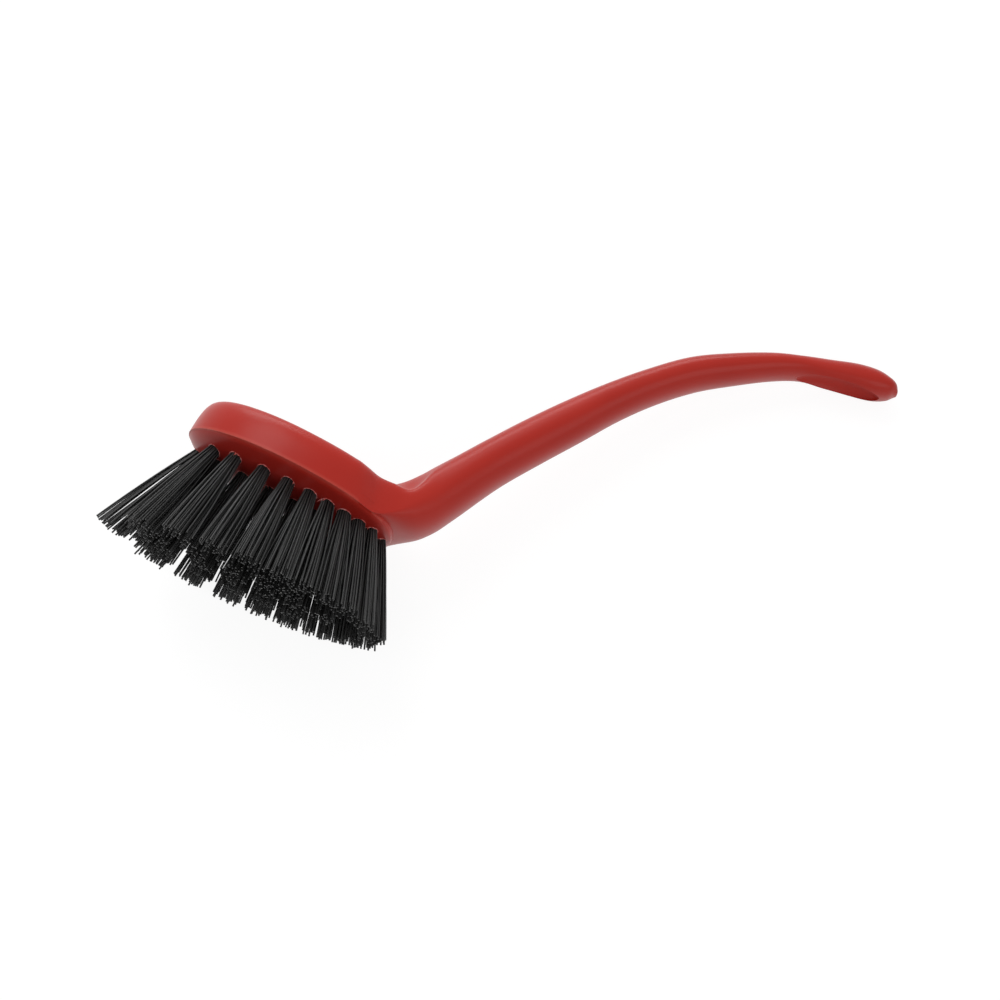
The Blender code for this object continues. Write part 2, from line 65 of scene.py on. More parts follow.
class Wire:
    # A socket of a node tree. Sums on it add Math nodes.
    def __init__(self, tree, socket=None):
        self.tree, self.socket = tree, socket

    def node(self, kind, settings=None, inputs=None, output=0):
        made = self.tree.nodes.new("ShaderNode" + kind)
        for key, value in (settings or {}).items():
            setattr(made, key, value)
        for key, value in (inputs or {}).items():
            if isinstance(value, Wire):
                self.tree.links.new(value.socket, made.inputs[key])
            else:
                made.inputs[key].default_value = value
        return Wire(self.tree, made.outputs[output])

    def maths(self, operation, a, b=0.0, clamp=False):
        return self.node("Math", {"operation": operation, "use_clamp": clamp}, {0: a, 1: b})

    def __add__(self, other):
        return self.maths("ADD", self, other)

    def __radd__(self, other):
        return self.maths("ADD", other, self)

    def __sub__(self, other):
        return self.maths("SUBTRACT", self, other)

    def __rsub__(self, other):
        return self.maths("SUBTRACT", other, self)

    def __mul__(self, other):
        return self.maths("MULTIPLY", self, other)

    def __rmul__(self, other):
        return self.maths("MULTIPLY", other, self)

    def clamped(self):
        return self.maths("ADD", self, 0.0, clamp=True)

    def mixed(self, first, second):
        # The colour that goes from first to second as this value goes from 0 to 1
        return self.node("Mix", {"data_type": "RGBA"}, {0: self, 6: first, 7: second}, output=2)


def newMaterial(name, **plain):
    material = bpy.data.materials.new(name)
    material.use_nodes = True
    shader = material.node_tree.nodes["Principled BSDF"]
    for key, value in plain.items():
        shader.inputs[key.replace("_", " ")].default_value = value
    start = Wire(material.node_tree)
    place = start.node("TexCoord", output=3)
    return material, shader, start, place


def join(wire, shader, name):
    wire.tree.links.new(wire.socket, shader.inputs[name])


def grain(start, place, scale, detail):
    return start.node("TexNoise", None, {"Vector": place, "Scale": scale, "Detail": detail})


# Red moulded plastic

redPlastic = {
    "colour": (0.420, 0.0215, 0.0122, 1.0),
    "deep": (0.375, 0.0168, 0.0095, 1.0),
    # Paler red painted along the rubbed parting edge as a highlight
    "wornHighlight": (0.560, 0.120, 0.090, 1.0),
    # Darker red painted under the head as shade among the tufts
    "paintedShadeColour": (0.235, 0.0090, 0.0050, 1.0),
    "roughness": 0.34, "cloudRoughness": 0.10, "grainRoughness": 0.06, "wornRoughness": 0.08,
    "specular": 0.20, "sheen": 0.16, "sheenRoughness": 0.30,
    "cloudScale": 38.0,
    "cloudContrast": 1.6,
    "grainScale": 1500.0,
    "grainDepth": 0.00003,
    "bump": 0.25,
    "speckScale": 525.0,
}


def makeRedPlastic(settings):
    material, shader, start, place = newMaterial(
        "red_plastic", Specular_IOR_Level=settings["specular"],
        Sheen_Weight=settings["sheen"], Sheen_Roughness=settings["sheenRoughness"],
    )
    cloud = grain(start, place, settings["cloudScale"], 3.0)
    fine = grain(start, place, settings["grainScale"], 2.0)
    speck = grain(start, place, settings["speckScale"], 1.0)
    # Painted highlight: paler red along the rubbed parting edge, broken up by specks
    edge = start.node("Attribute", {"attribute_name": "edgeWearAndHighlight"}, output=2)
    shade = ((cloud - 0.5) * settings["cloudContrast"] + 0.5).clamped()
    base = shade.mixed(settings["deep"], settings["colour"])
    wornHighlight = (edge * (0.55 + speck * 0.5)).clamped()
    # Painted shade: darker red under the head, among the tufts, fading out towards the head's tip
    paintedShade = start.node("Attribute", {"attribute_name": "domePaintedShade"}, output=2)
    shadedBase = (paintedShade * (0.8 + cloud * 0.4)).clamped().mixed(base, settings["paintedShadeColour"])
    join(wornHighlight.mixed(shadedBase, settings["wornHighlight"]), shader, "Base Color")
    uneven = (cloud - 0.5) * settings["cloudRoughness"] + (fine - 0.5) * settings["grainRoughness"]
    uneven = uneven + edge * settings["wornRoughness"]
    join(settings["roughness"] + uneven, shader, "Roughness")
    height = fine * 0.6 + speck * 0.4
    bump = start.node(
        "Bump", None, {"Strength": settings["bump"], "Distance": settings["grainDepth"], "Height": height},
    )
    join(bump, shader, "Normal")
    return material


drilledPlastic = {
    "colour": (0.50, 0.085, 0.070, 1.0),
    "pale": (0.78, 0.42, 0.42, 1.0),
    "paleFrom": 0.45, "paleContrast": 3.0,
    "roughness": 0.45, "rougher": 0.2,
    "scale": 900.0,
}


def makeDrilledPlastic(settings):
    material, shader, start, place = newMaterial("drilled_red_plastic")
    torn = grain(start, place, settings["scale"], 3.0)
    pale = ((torn - settings["paleFrom"]) * settings["paleContrast"]).clamped()
    join(pale.mixed(settings["colour"], settings["pale"]), shader, "Base Color")
    join(settings["roughness"] + torn * settings["rougher"], shader, "Roughness")
    return material


blackFilament = {
    "colour": (0.0055, 0.0053, 0.0050, 1.0),
    # Lighter grey for strands picked at random: partly their own uneven tone, partly painted glints on the
    # filaments
    "grey": (0.050, 0.050, 0.050, 1.0),
    "specular": 0.35,
    "roughness": 0.34, "strandRoughness": 0.12, "dustRoughness": 0.1,
    "strandShare": 0.7, "dustShare": 0.3,
    "scale": 160.0,
}


def makeBlackFilament(settings):
    material, shader, start, place = newMaterial("black_filament", Specular_IOR_Level=settings["specular"])
    # Strands picked at random are painted lighter: partly uneven tone, partly painted glints
    strand = start.node("Attribute", {"attribute_name": "strandTone"}, output=2)
    dust = grain(start, place, settings["scale"], 2.0)
    tone = (strand * settings["strandShare"] + dust * settings["dustShare"]).clamped()
    join(tone.mixed(settings["colour"], settings["grey"]), shader, "Base Color")
    rubbed = settings["roughness"] + strand * settings["strandRoughness"]
    join(rubbed + (dust - 0.5) * settings["dustRoughness"], shader, "Roughness")
    return material


cutEnd = {
    # Cut ends painted lighter than the filaments, with pale specks standing in for glints on the cut faces
    "colour": (0.022, 0.022, 0.022, 1.0),
    "pale": (0.20, 0.20, 0.19, 1.0),
    "paleFrom": 0.62, "paleContrast": 7.0,
    "roughness": 0.42, "rougher": 0.2,
    "scale": 700.0,
}


def makeCutEnd(settings):
    material, shader, start, place = newMaterial("filament_cut_end")
    # Painted glints: pale specks on the cut ends
    speck = grain(start, place, settings["scale"], 0.0)
    pale = ((speck - settings["paleFrom"]) * settings["paleContrast"]).clamped()
    join(pale.mixed(settings["colour"], settings["pale"]), shader, "Base Color")
    join(settings["roughness"] + speck * settings["rougher"], shader, "Roughness")
    return material


anchorSteel = {
    "colour": (0.50, 0.50, 0.49, 1.0),
    "pale": (0.66, 0.66, 0.64, 1.0),
    "roughness": 0.28, "rougher": 0.2,
    "scale": 900.0,
}


def makeAnchorSteel(settings):
    material, shader, start, place = newMaterial("anchor_steel", Metallic=1.0)
    rolled = grain(start, place, settings["scale"], 2.0)
    join(rolled.mixed(settings["colour"], settings["pale"]), shader, "Base Color")
    join(settings["roughness"] + rolled * settings["rougher"], shader, "Roughness")
    return material


redMaterial = makeRedPlastic(redPlastic)
drilledMaterial = makeDrilledPlastic(drilledPlastic)
filamentMaterial = makeBlackFilament(blackFilament)
cutEndMaterial = makeCutEnd(cutEnd)
steelMaterial = makeAnchorSteel(anchorSteel)
print("materials made")


# Moulded body: head, neck and handle in one

body = {
    "headLength": 0.077, "headWidth": 0.0538,
    "wallHeight": 0.0130, "wallInset": 0.0060, "wallPower": 3.4,
    "domeDepth": 0.0072, "domeEdge": 33.0, "domePower": 5.0, "domeInset": 0.00025, "domeRoot": 0.003,
    "frontPower": 2.0, "rearPower": 2.35, "roundPower": 2.25, "rimPower": 1.2,
    "handleReach": 0.125, "handleRise": 0.1178, "handleDepth": 0.0148, "handleWidth": 0.0196,
    "joinShare": 0.75, "joinStep": 0.1, "frontWallShare": 0.75,
    "endShares": (0.9988, 0.966),
    "scoopShare": 0.828, "scoopLength": 0.029, "scoopWidth": 0.0122, "scoopDepth": 0.0046,
    "scoopSides": 72, "scoopRings": 36,
    "headRings": 56, "ringsPerStation": 6, "domeSteps": 20, "wallSteps": 14, "crestSteps": 16,
    "wallPoints": 48, "risePoints": 24, "weld": 1e-7, "sharpAngle": 44.0,
    # Crest's reach and rise, lean in degrees, depth, width, widest line, rim's drop, head's share
    "stations": (
        (-0.1200, 0.0000, 8.0, 0.887, 2.255, 1.000, 0.020, 1.00),
        (-0.0920, 0.0060, 20.0, 0.986, 1.830, 1.000, 0.065, 1.00),
        (-0.0672, 0.0320, 33.9, 1.185, 1.520, 0.790, 0.245, 1.00),
        (-0.0416, 0.0620, 38.5, 1.300, 1.390, 0.640, 0.500, 0.90),
        (-0.0192, 0.0930, 43.5, 1.300, 1.280, 0.570, 0.480, 0.55),
        (0.0016, 0.1220, 50.1, 1.210, 1.200, 0.540, 0.300, 0.20),
        (0.0370, 0.1770, 59.5, 1.085, 1.130, 0.520, 0.100, 0.03),
        (0.0830, 0.2570, 60.5, 1.015, 1.060, 0.500, 0.000, 0.00),
        (0.1500, 0.3700, 58.0, 0.990, 1.000, 0.500, 0.000, 0.00),
        (0.2200, 0.4780, 56.6, 0.940, 0.960, 0.500, 0.000, 0.00),
        (0.2950, 0.5830, 54.0, 0.830, 0.920, 0.500, 0.000, 0.00),
        (0.3740, 0.6810, 49.0, 0.760, 0.890, 0.500, 0.000, 0.00),
        (0.4590, 0.7720, 41.5, 0.735, 0.850, 0.500, 0.000, 0.00),
        (0.5520, 0.8400, 35.5, 0.665, 0.800, 0.500, 0.000, 0.00),
        (0.6500, 0.8990, 29.5, 0.565, 0.740, 0.500, 0.000, 0.00),
        (0.7290, 0.9330, 21.0, 0.490, 0.715, 0.500, 0.000, 0.00),
        (0.8000, 0.9600, 16.5, 0.580, 0.765, 0.520, 0.000, 0.00),
        (0.8680, 0.9860, 15.0, 0.665, 0.800, 0.550, 0.000, 0.00),
        (0.9240, 0.9970, 14.0, 0.640, 0.765, 0.550, 0.000, 0.00),
        (0.9640, 0.9925, 14.0, 0.455, 0.630, 0.510, 0.000, 0.00),
        (0.9840, 0.9858, 14.0, 0.270, 0.430, 0.500, 0.000, 0.00),
        (0.9950, 0.9730, 14.0, 0.120, 0.220, 0.500, 0.000, 0.00),
        (0.9976, 0.9690, 14.0, 0.050, 0.095, 0.500, 0.000, 0.00),
    ),
}


def ovalHalf(x, inset=0.0):
    # Half width of the head's outline, drawn in by an inset all round
    along = (x - inset) / (body["headLength"] - 2 * inset)
    if not 0 < along < 1:
        return 0.0
    power = body["frontPower"] if along < 0.5 else body["rearPower"]
    return (body["headWidth"] / 2 - inset) * max(0.0, 1 - abs(2 * along - 1) ** power) ** (1 / power)


def domeDepth(x):
    return body["domeDepth"] * max(0.0, 1 - abs(2 * x / body["headLength"] - 1) ** body["domePower"])


def domeShare(across):
    edge = math.sin(math.radians(body["domeEdge"]))
    rise = math.sqrt(1 - edge * edge)
    return (math.sqrt(1 - (edge * across) ** 2) - rise) / (1 - rise)


def domePoint(x, y):
    return Vector((x, y, -domeDepth(x) * domeShare(min(1.0, abs(y) / ovalHalf(x, body["domeInset"])))))


def evenly(points, count):
    # count + 1 points at even steps along a line of (across, height) points
    points = points if len(points) > 1 else points * 2
    walked = [0.0]
    for a, b in zip(points, points[1:]):
        walked.append(walked[-1] + math.dist(a, b))
    out, k = [], 0
    for i in range(count + 1):
        wanted = walked[-1] * i / count
        while k < len(points) - 2 and walked[k + 1] < wanted:
            k += 1
        span = walked[k + 1] - walked[k]
        share = (wanted - walked[k]) / span if span > 0 else 0.0
        out.append(tuple(a + (b - a) * share for a, b in zip(points[k], points[k + 1])))
    return out


def quarter(width, height, power, count):
    # A quarter of a rounded oval, as (distance inwards, height) from its side to its top
    out = []
    for i in range(count + 1):
        angle = math.pi / 2 * i / count
        inward = width * (1 - max(0.0, math.cos(angle)) ** (2 / power))
        out.append((inward, height * max(0.0, math.sin(angle)) ** (2 / power)))
    return out


def wallLine(x):
    # The wall and its rounded shoulder at x, up to the flat back or to where they run out
    levels = quarter(body["wallInset"], body["wallHeight"], body["wallPower"], body["wallPoints"])
    line = []
    for inset, height in levels:
        half = ovalHalf(x, inset)
        if half <= 0:
            lastInset, lastHeight = levels[len(line) - 1]
            share = (x - lastInset) / (inset - lastInset)
            line.append((0.0, lastHeight + share * (height - lastHeight)))
            return line
        line.append((half, height))
    return line


def headUpper(x):
    wall = wallLine(x)
    full, first = body["wallInset"], body["frontWallShare"]
    opened = min(1.0, max(0.0, (x - full) / (2 * full)))
    divide = min(len(wall) - 1, max(2, round((len(wall) - 1) * (first + (1 - first) * opened))))
    lower, upper = wall[:divide + 1], wall[divide:]
    if wall[-1][0] > 0:
        upper = upper + [(0.0, body["wallHeight"])]
    return evenly(lower, body["wallSteps"])[:-1] + evenly(upper, body["crestSteps"])


def underside(half, belt, depth):
    # From the middle of the underside round to the widest line
    side = quarter(half, depth - belt, body["roundPower"], body["domeSteps"])
    return [(half - inward, belt + down) for inward, down in side[::-1]]


def roundTop(half, belt):
    side = quarter(half, belt, body["roundPower"], body["wallSteps"] + body["crestSteps"])
    return [(half - inward, belt - up) for inward, up in side]


def rimmedTop(half, belt, drop):
    # The head's wall up to its rim, and the root of the handle rising inside the rim
    joined = ovalHalf(body["headLength"] * body["joinShare"])
    inset = body["wallInset"] * min(1.0, (half / joined) ** body["rimPower"])
    side = quarter(inset, belt - drop, body["wallPower"], body["wallPoints"])
    wall = [(half - inward, belt - up) for inward, up in side]
    rise = []
    for i in range(body["risePoints"] + 1):
        share = 1 - i / body["risePoints"]
        rise.append(((half - inset) * share, drop * share ** 2 * (3 - 2 * share)))
    return evenly(wall, body["wallSteps"])[:-1] + evenly(rise, body["crestSteps"])


def ringAt(crestX, crestZ, lean, profile):
    # One closed section: up the near side from the underside to the crest and down the other
    down = Vector((math.sin(lean), 0.0, -math.cos(lean)))
    crest = Vector((crestX, 0.0, crestZ))
    near = [crest + down * z + Vector((0.0, y, 0.0)) for y, z in profile]
    far = [crest + down * z - Vector((0.0, y, 0.0)) for y, z in profile]
    return near + far[-2:0:-1]


def stationRows():
    height = body["wallHeight"]
    rows = []
    for share in (body["joinShare"] - body["joinStep"], body["joinShare"]):
        x = body["headLength"] * share
        rows.append((x, height, 0.0, height, ovalHalf(x), 1.0, 0.0, 1.0))
    for reach, rise, lean, depth, width, belt, drop, wall in body["stations"]:
        rows.append((
            body["headLength"] + body["handleReach"] * reach, height + body["handleRise"] * rise,
            math.radians(lean), body["handleDepth"] * depth, body["handleWidth"] / 2 * width,
            belt, body["handleDepth"] * drop, wall,
        ))
    return rows


def rowBetween(rows, index, share):
    # Smooth curve through the rows
    before, start = rows[index - 1], rows[index]
    end, after = rows[index + 1], rows[min(index + 2, len(rows) - 1)]
    s2, s3 = share ** 2, share ** 3
    return [
        b * (2 * s3 - 3 * s2 + 1) + (c - a) / 2 * (s3 - 2 * s2 + share)
        + c * (3 * s2 - 2 * s3) + (d - b) / 2 * (s3 - s2)
        for a, b, c, d in zip(before, start, end, after)
    ]


def bodyRings():
    height = body["wallHeight"]
    rings = []
    for i in range(1, body["headRings"] + 1):
        x = body["headLength"] * body["joinShare"] * (1 - math.cos(math.pi / 2 * i / body["headRings"]))
        upper = [(y, height - z) for y, z in headUpper(x)]
        rings.append(ringAt(x, height, 0.0, underside(ovalHalf(x), height, height)[:-1] + upper))
    rows = stationRows()
    for index in range(1, len(rows) - 1):
        for step in range(1, body["ringsPerStation"] + 1):
            row = rowBetween(rows, index, step / body["ringsPerStation"])
            x, z, lean, depth, half, beltShare, drop, wall = row
            wall, belt = max(0.0, min(1.0, wall)), depth * min(1.0, beltShare)
            upper = [
                (a[0] * wall + b[0] * (1 - wall), a[1] * wall + b[1] * (1 - wall))
                for a, b in zip(rimmedTop(half, belt, max(0.0, drop)), roundTop(half, belt))
            ]
            rings.append(ringAt(x, z, lean, underside(half, belt, depth)[:-1] + upper))
    return rings


def domeRings():
    # The dome that carries the tufts, set a hair inside the wall and rooted in the plate above it
    inset, root = body["domeInset"], body["domeRoot"]
    length = body["headLength"] - 2 * inset
    rings = []
    for i in range(1, 2 * body["headRings"]):
        x = inset + length * (1 - math.cos(math.pi * i / (2 * body["headRings"]))) / 2
        half = ovalHalf(x, inset)
        lower = [
            (half * j / body["domeSteps"], root + domeDepth(x) * domeShare(j / body["domeSteps"]))
            for j in range(body["domeSteps"] + 1)
        ]
        rings.append(ringAt(x, root, 0.0, lower + [(half, 0.0), (0.0, 0.0)]))
    return rings


def skin(rings, start, end):
    # A grid wrapped round the rings, closed along its seam and on a point at each end
    rows = [[start] * len(rings[0])] + rings + [[end] * len(rings[0])]
    bm = bmesh.new()
    across, along = len(rings[0]), len(rows) - 1
    bmesh.ops.create_grid(bm, x_segments=across, y_segments=along, size=1.0)
    for vert in bm.verts:
        i = round((vert.co.x + 1) / 2 * across)
        j = round((vert.co.y + 1) / 2 * along)
        vert.co = rows[j][i % across]
    bmesh.ops.remove_doubles(bm, verts=bm.verts, dist=body["weld"])
    bmesh.ops.recalc_face_normals(bm, faces=bm.faces)
    return bm


def helper(bm, name, material=None):
    mesh = bpy.data.meshes.new(name)
    bm.to_mesh(mesh)
    bm.free()
    if material:
        mesh.materials.append(material)
    item = bpy.data.objects.new(name, mesh)
    bpy.context.scene.collection.objects.link(item)
    return item


def combine(item, other, operation):
    modifier = item.modifiers.new(other.name, "BOOLEAN")
    modifier.operation, modifier.solver, modifier.object = operation, "EXACT", other
    modifier.material_mode = "TRANSFER"


def settle(item, *others):
    # Keeps the joined and cut mesh and clears the other shapes away
    mesh = bpy.data.meshes.new_from_object(item.evaluated_get(bpy.context.evaluated_depsgraph_get()))
    item.modifiers.clear()
    item.data = mesh
    for other in others:
        bpy.data.objects.remove(other, do_unlink=True)


def lay(item, *nodes, slot):
    # Turns the finished mesh to where the brush lies and ties the piece to the frame
    item.data.transform(toTable)
    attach(item, "root")
    if nodes:
        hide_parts(*nodes)


# Where the tufts stand

tufts = {
    "holeDiameter": 0.0048, "holeDepth": 0.0080, "holeSides": 28,
    "ringInset": 0.0090, "innerInset": 0.0185, "ringPower": 2.2, "upright": 0.39,
    "frontSplay": 20.0, "rearSplay": 25.0, "sidewaysSplay": 15.0, "splayPower": 1.8,
    "outer": (0.083, 0.168, 0.276, 0.416, 0.534, 0.640, 0.724, 0.802, 0.868, 0.922, 0.956),
    "inner": (0.215, 0.327, 0.460, 0.580, 0.682),
    "middle": (0.345, 0.470, 0.590, 0.700, 0.795),
    "frontPairs": ((0.147, 0.0035), (0.200, 0.0065)),
    "trimDepth": 0.0376, "trimSlope": 4.4,
}


def tuftPlaces():
    # (row and number, x, y) in the order of the CAD's nodes
    wide = body["headWidth"] / 2
    first, last = (tufts["outer"][i] * body["headLength"] for i in (0, -1))
    counts, places = {}, []

    def put(row, x, y):
        counts[row] = counts.get(row, 0) + 1
        places.append((f"{row}_{counts[row]:02d}", x, y))

    for share in tufts["outer"]:
        x = share * body["headLength"]
        off = abs(2 * (x - first) / (last - first) - 1)
        y = (wide - tufts["ringInset"]) * max(0.0, 1 - off ** tufts["ringPower"]) ** (1 / tufts["ringPower"])
        for side in ((0.0,) if y == 0 else (-y, y)):
            put("outer", x, side)
    for i, share in enumerate(tufts["inner"]):
        y = wide - tufts["innerInset"]
        for side in ((0.0,) if i == 0 else (-y, y)):
            put("inner", share * body["headLength"], side)
    for share in tufts["middle"]:
        put("middle", share * body["headLength"], 0.0)
    for share, off in tufts["frontPairs"]:
        for side in (-off, off):
            put("middle", share * body["headLength"], side)
    return places


def tuftFrame(x, y):
    # The hole's frame: origin at the mouth, third axis out along the tuft
    first, last = (tufts["outer"][i] * body["headLength"] for i in (0, -1))
    middle = tufts["upright"] * body["headLength"]
    if x > middle:
        endways = math.radians(tufts["rearSplay"]) * (x - middle) / (last - middle)
    else:
        forward = (middle - x) / (middle - first)
        endways = -math.radians(tufts["frontSplay"]) * forward ** tufts["splayPower"]
    sideways = math.radians(tufts["sidewaysSplay"]) * y / (body["headWidth"] / 2 - tufts["ringInset"])
    out = Vector((math.tan(endways), math.tan(sideways), -1.0)).normalized()
    along = out.orthogonal().normalized()
    turn = Matrix((along, out.cross(along), out)).transposed().to_4x4()
    return Matrix.Translation(domePoint(x, y)) @ turn


def holeCutter():
    bm = bmesh.new()
    radius = tufts["holeDiameter"] / 2
    for _, x, y in tuftPlaces():
        bmesh.ops.create_cone(
            bm, cap_ends=True, segments=tufts["holeSides"], radius1=radius, radius2=radius,
            depth=2 * tufts["holeDepth"], matrix=tuftFrame(x, y),
        )
    return helper(bm, "holeCutter", drilledMaterial)


def scoopCutter():
    rows = stationRows()
    wanted = body["headLength"] + body["handleReach"] * body["scoopShare"]
    index = next(i for i in range(1, len(rows) - 1) if rows[i][0] <= wanted <= rows[i + 1][0])
    before, after = rows[index][0], rows[index + 1][0]
    x, z, lean, depth = rowBetween(rows, index, (wanted - before) / (after - before))[:4]
    centre = Vector((x + math.sin(lean) * depth, 0.0, z - math.cos(lean) * depth))
    size = Matrix.Diagonal((body["scoopLength"] / 2, body["scoopWidth"] / 2, body["scoopDepth"], 1.0))
    bm = bmesh.new()
    bmesh.ops.create_uvsphere(
        bm, u_segments=body["scoopSides"], v_segments=body["scoopRings"], radius=1.0,
        matrix=Matrix.Translation(centre) @ Matrix.Rotation(-lean, 4, "Y") @ size,
    )
    return helper(bm, "scoopCutter", redMaterial)


# Painted marks: a rubbed parting edge painted paler as a highlight, and painted shade under the head that
# deepens away from its tip
paintedMarks = {
    "edge": 0.4, "edgeHeight": 0.00005, "edgeReach": 0.0005,
    "shadeDepth": 0.0015, "shadeStart": 0.003, "shadeRun": 0.011,
}


def paintEdgeAndShade(mesh):
    # Marks the parting edge for a painted highlight and the dome under the head for painted shade
    for name in ("edgeWearAndHighlight", "domePaintedShade"):
        mesh.attributes.new(name, "FLOAT", "POINT")
    wearAndHighlight, paintedShade = mesh.attributes["edgeWearAndHighlight"], mesh.attributes["domePaintedShade"]
    for vert in mesh.vertices:
        x, y, z = vert.co
        if x >= body["headLength"]:
            continue
        if abs(z) < paintedMarks["edgeHeight"] and abs(abs(y) - ovalHalf(x)) < paintedMarks["edgeReach"]:
            wearAndHighlight.data[vert.index].value = paintedMarks["edge"]
        under = min(1.0, max(0.0, -z / paintedMarks["shadeDepth"]))
        along = min(1.0, max(0.0, (x - paintedMarks["shadeStart"]) / paintedMarks["shadeRun"]))
        paintedShade.data[vert.index].value = under * along


def makeBody():
    reach, rise = body["endShares"]
    endX = body["headLength"] + body["handleReach"] * reach
    endZ = body["wallHeight"] + body["handleRise"] * rise
    grid = skin(bodyRings(), Vector((0.0, 0.0, 0.0)), Vector((endX, 0.0, endZ)))
    item = helper(grid, "moulded_body", redMaterial)
    inset, root = body["domeInset"], body["domeRoot"]
    ends = [Vector((x, 0.0, root / 2)) for x in (inset, body["headLength"] - inset)]
    dome = helper(skin(domeRings(), *ends), "dome", redMaterial)
    holes, scoop = holeCutter(), scoopCutter()
    combine(item, dome, "UNION")
    combine(item, holes, "DIFFERENCE")
    combine(item, scoop, "DIFFERENCE")
    settle(item, dome, holes, scoop)
    paintEdgeAndShade(item.data)
    item.data.shade_smooth()
    item.data.set_sharp_from_angle(angle=math.radians(body["sharpAngle"]))
    lay(item, "brush_body", slot="body_plastic")
    print("body", len(item.data.polygons), "faces")


makeBody()


# Torn lips and slivers of plastic round the drilled holes

burrs = {
    "width": 0.00030, "lip": 0.00034, "crest": 0.3, "inward": 0.00002, "innerRise": 0.4, "sink": 0.00003,
    "slivers": 60, "sliverLength": 0.0019, "sliverWidth": 0.00042, "sliverTip": 0.00014,
    "sliverSides": 5, "sliverTilt": 0.9, "shortest": 0.4, "domeSteps": 4, "seed": 5,
}


def onDome(placeIt, x, y):
    # The point of the dome's surface over (x, y) of a hole's own frame, found in a few steps
    reach = 0.0
    for _ in range(burrs["domeSteps"]):
        point = placeIt @ Vector((x, y, reach))
        reach += point.z - domePoint(point.x, point.y).z
    return placeIt @ Vector((x, y, reach))


def addLip(bm, placeIt, chance):
    # A low uneven collar round a hole, from its outer foot over its crest to the wall of the hole
    radius, count = tufts["holeDiameter"] / 2, tufts["holeSides"]
    out = placeIt.to_3x3() @ Vector((0.0, 0.0, 1.0))
    raised = [burrs["lip"] * chance.random() ** 2 for _ in range(count)]
    loops = []
    for distance, rise, sink in (
        (radius + burrs["width"], 0.0, burrs["sink"]),
        (radius + burrs["width"] * burrs["crest"], 1.0, 0.0),
        (radius - burrs["inward"], burrs["innerRise"], 0.0),
    ):
        verts = bmesh.ops.create_circle(bm, segments=count, radius=distance)["verts"]
        for vert, lip in zip(verts, raised):
            vert.co = onDome(placeIt, vert.co.x, vert.co.y) + out * (rise * lip - sink)
        loops.append({e for v in verts for e in v.link_edges})
    for outer, inner in zip(loops, loops[1:]):
        bmesh.ops.bridge_loops(bm, edges=list(outer | inner))


def addSliver(bm, placeIt, chance):
    angle = chance.uniform(0, math.tau)
    radius = tufts["holeDiameter"] / 2 + burrs["width"] / 2
    foot = onDome(placeIt, radius * math.cos(angle), radius * math.sin(angle))
    most = burrs["sliverTilt"]
    tilt = Euler((chance.uniform(-most, most), chance.uniform(-most, most), 0.0)).to_matrix().to_4x4()
    length = burrs["sliverLength"] * chance.uniform(burrs["shortest"], 1.0)
    stand = Matrix.Translation(foot) @ placeIt.to_3x3().to_4x4() @ tilt
    bmesh.ops.create_cone(
        bm, cap_ends=True, segments=burrs["sliverSides"],
        radius1=burrs["sliverWidth"] / 2, radius2=burrs["sliverTip"] / 2,
        depth=length, matrix=stand @ Matrix.Translation((0.0, 0.0, length / 2)),
    )


def makeBurrs():
    chance = random.Random(burrs["seed"])
    bm = bmesh.new()
    places = tuftPlaces()
    for _, x, y in places:
        addLip(bm, tuftFrame(x, y), chance)
    for _ in range(burrs["slivers"]):
        _, x, y = chance.choice(places)
        addSliver(bm, tuftFrame(x, y), chance)
    bmesh.ops.recalc_face_normals(bm, faces=bm.faces)
    item = helper(bm, "drill_burrs", drilledMaterial)
    item.data.shade_smooth()
    lay(item, slot="body_plastic")


def nextRing(bm, ring):
    # Extrudes a ring of vertices once and gives the new ring in the same order
    loop = list({e for v in ring for e in v.link_edges if e.other_vert(v) in ring})
    made = bmesh.ops.extrude_edge_only(bm, edges=loop)["geom"]
    return [next(e.other_vert(v) for e in v.link_edges if e.other_vert(v) in made) for v in ring]


# A bead of flash along the parting line, painted paler as a highlight

flash = {
    "radius": 0.00017, "inset": 0.00019, "drop": 0.00003, "steps": 160, "sides": 8,
    "spread": 1.75, "taper": 2.2, "wearAndHighlight": 0.8,
}


def makeFlash():
    bm = bmesh.new()
    ring = bmesh.ops.create_circle(bm, segments=flash["sides"], radius=flash["radius"])["verts"]
    shape = [v.co.copy() for v in ring]
    for step in range(flash["steps"] + 1):
        share = 2 * step / flash["steps"] - 1
        angle = flash["spread"] * share
        thin = min(1.0, flash["taper"] * (1 - abs(share)))
        x = flash["inset"] + (body["headLength"] - 2 * flash["inset"]) * (1 - math.cos(angle)) / 2
        side = math.copysign(ovalHalf(x, flash["inset"]), math.sin(angle))
        point = Vector((x, side, -flash["drop"]))
        if step:
            ring = nextRing(bm, ring)
        away = Vector((-math.cos(angle), math.sin(angle), 0.0))
        for vert, offset in zip(ring, shape):
            vert.co = point + (away * offset.x + Vector((0.0, 0.0, offset.y))) * thin
    bmesh.ops.recalc_face_normals(bm, faces=bm.faces)
    item = helper(bm, "parting_flash", redMaterial)
    wearAndHighlight = item.data.attributes.new("edgeWearAndHighlight", "FLOAT", "POINT")
    for vert in item.data.vertices:
        wearAndHighlight.data[vert.index].value = flash["wearAndHighlight"]
    item.data.shade_smooth()
    lay(item, slot="body_plastic")


makeBurrs()
makeFlash()
print("burrs and flash made")


# Bristle tufts: separate filaments, sunk into the hole and cut off on one plane

